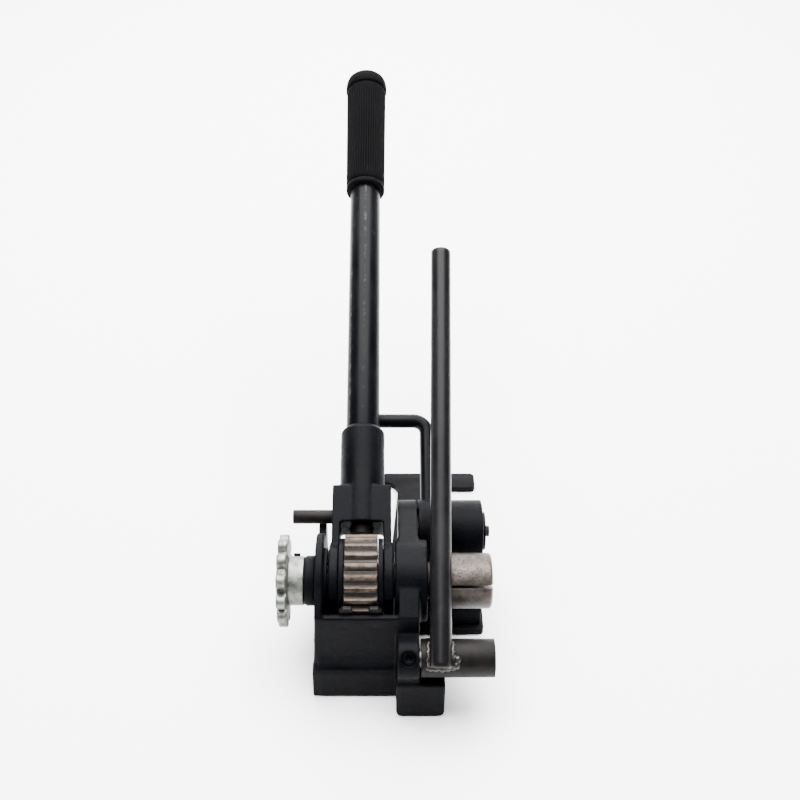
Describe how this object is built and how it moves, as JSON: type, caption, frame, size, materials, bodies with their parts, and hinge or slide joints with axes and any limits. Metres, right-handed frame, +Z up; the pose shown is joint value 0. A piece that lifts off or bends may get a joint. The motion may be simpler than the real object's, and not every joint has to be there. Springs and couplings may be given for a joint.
{
  "type": "strapping tensioner tool",
  "caption": "Hand windlass tensioner for steel strap: long ratchet handle on a slotted winding shaft, cast base, hinged gripper jaw, star wheel and a side lever on a roller.",
  "frame": {"origin": "underside of the base, straight below the windlass axis, in the middle plane of the handle", "axes": "+X along the windlass towards its slotted free end, +Y to the rear, the way the handle leans at rest, +Z up; the tool stands on z = 0"},
  "size_m": [0.1665, 0.5438, 0.3067],
  "materials": {
    "cast_black": "dark grey coated casting, rough, rubbed at edges",
    "black_steel": "black oxide, worn satin",
    "worn_steel": "brown oxidised steel, rubbed bright at edges",
    "bright_steel": "machined, dull",
    "zinc_plated": "yellowish zinc plating, satin",
    "grip_rubber": "ribbed, matte",
    "bearing_bronze": "plain sintered bronze"
  },
  "bodies": {
    "frame": {"base_casting": "cast_black", "rear_plate": "black_steel", "rear_plate_screws": "black_steel", "left_bush": "black_steel", "right_bush": "bearing_bronze", "cheek_washer": "bright_steel", "gear_guard": "worn_steel", "guard_screws": "black_steel", "pawl_pin": "bright_steel", "pawl_spring": "bright_steel", "lever_stud": "bright_steel", "stud_set_screw": "black_steel", "roller_washer": "bright_steel", "roller_screw": "black_steel", "gripper_pin": "bright_steel", "gripper_washer": "black_steel", "gripper_pin_screw": "bright_steel"},
    "windlass": {"windlass_shaft": "worn_steel", "ratchet_gear": "worn_steel", "gear_key": "bright_steel", "star_wheel": "zinc_plated", "star_set_screw": "black_steel", "shaft_clip": "bright_steel"},
    "handle": {"fork_yoke": "cast_black", "fork_bushes": "bearing_bronze", "fork_washers": "bright_steel", "handle_tube": "black_steel", "hand_grip": "grip_rubber", "tube_pin": "bright_steel", "spring_seat": "bright_steel", "drive_spring": "bright_steel"},
    "drive_pawl": {"drive_pawl": "worn_steel", "release_rod": "worn_steel"},
    "holding_pawl": {"holding_pawl": "worn_steel"},
    "gripper": {"gripper_arm": "cast_black", "gripper_bush": "bearing_bronze", "gripper_lever": "black_steel", "jaw_insert": "worn_steel", "jaw_screws": "black_steel", "gripper_spring": "bright_steel"},
    "side_lever": {"lever_roller": "worn_steel", "roller_bush": "bearing_bronze", "lever_bar": "black_steel", "lever_welds": "worn_steel"}
  },
  "joints": [
    {"name": "windlass_spin", "type": "hinge", "parent": "frame", "child": "windlass", "pos_m": [0, 0, 0.075], "axis": [1, 0, 0], "continuous": true},
    {"name": "handle_swing", "type": "hinge", "parent": "frame", "child": "handle", "pos_m": [0, 0, 0.075], "axis": [1, 0, 0], "range_deg": [0, 110]},
    {"name": "drive_pawl_slide", "type": "slide", "parent": "handle", "child": "drive_pawl", "axis": [0, 0.9041, 0.4274], "range_m": [0, 0.005], "stiffness_N_per_m": 2000, "springref_m": -0.01, "deforming": ["drive_spring"]},
    {"name": "holding_pawl_rock", "type": "hinge", "parent": "frame", "child": "holding_pawl", "pos_m": [0, -0.03, 0.034], "axis": [1, 0, 0], "range_deg": [0, 4.5], "stiffness_Nm_per_rad": 0.3, "springref_deg": -28.65},
    {"name": "gripper_lift", "type": "hinge", "parent": "frame", "child": "gripper", "pos_m": [0.07, 0.05752, 0.072], "axis": [1, 0, 0], "range_deg": [-10, 0], "stiffness_Nm_per_rad": 1, "springref_deg": 28.65},
    {"name": "side_lever_swing", "type": "hinge", "parent": "frame", "child": "side_lever", "pos_m": [0.07, -0.0548, 0.051], "axis": [1, 0, 0], "range_deg": [0, 60]}
  ]
}
